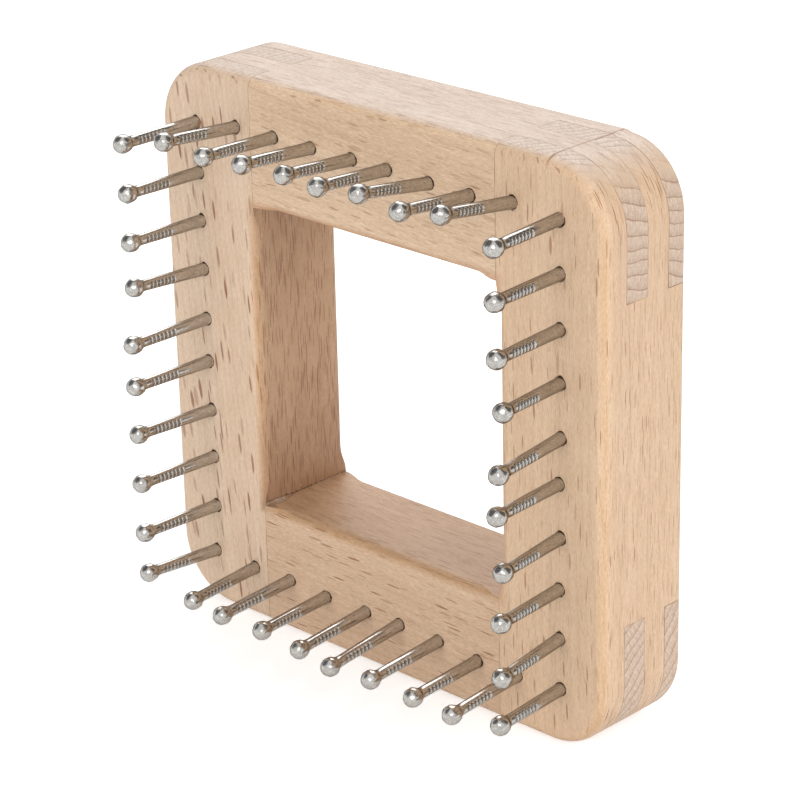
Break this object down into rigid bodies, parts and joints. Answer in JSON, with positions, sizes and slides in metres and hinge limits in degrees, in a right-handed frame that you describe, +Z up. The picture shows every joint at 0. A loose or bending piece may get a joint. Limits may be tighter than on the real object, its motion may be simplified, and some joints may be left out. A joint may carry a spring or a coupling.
{
  "type": "knitting board",
  "caption": "Square wooden frame with a central opening and a row of round-headed steel pins along each side, for knitting yarn off the pins with a hook.",
  "frame": {"origin": "middle of the bottom edge's flat face, on which the frame stands upright", "axes": "+X to the right seen from the pins, +Y from the front face to the back, +Z up; the pins point to -Y"},
  "size_m": [0.114, 0.0427, 0.114],
  "materials": {
    "beech": "sanded beech, unvarnished",
    "steel": "polished steel nail"
  },
  "bodies": {
    "root": {"left_stile": "beech", "right_stile": "beech", "top_rail": "beech", "bottom_rail": "beech", "pin_left_01": "steel", "pin_left_02": "steel", "pin_left_03": "steel", "pin_left_04": "steel", "pin_left_05": "steel", "pin_left_06": "steel", "pin_left_07": "steel", "pin_left_08": "steel", "pin_left_09": "steel", "pin_left_10": "steel", "pin_right_01": "steel", "pin_right_02": "steel", "pin_right_03": "steel", "pin_right_04": "steel", "pin_right_05": "steel", "pin_right_06": "steel", "pin_right_07": "steel", "pin_right_08": "steel", "pin_right_09": "steel", "pin_right_10": "steel", "pin_top_01": "steel", "pin_top_02": "steel", "pin_top_03": "steel", "pin_top_04": "steel", "pin_top_05": "steel", "pin_top_06": "steel", "pin_top_07": "steel", "pin_top_08": "steel", "pin_bottom_01": "steel", "pin_bottom_02": "steel", "pin_bottom_03": "steel", "pin_bottom_04": "steel", "pin_bottom_05": "steel", "pin_bottom_06": "steel", "pin_bottom_07": "steel", "pin_bottom_08": "steel"}
  },
  "joints": []
}
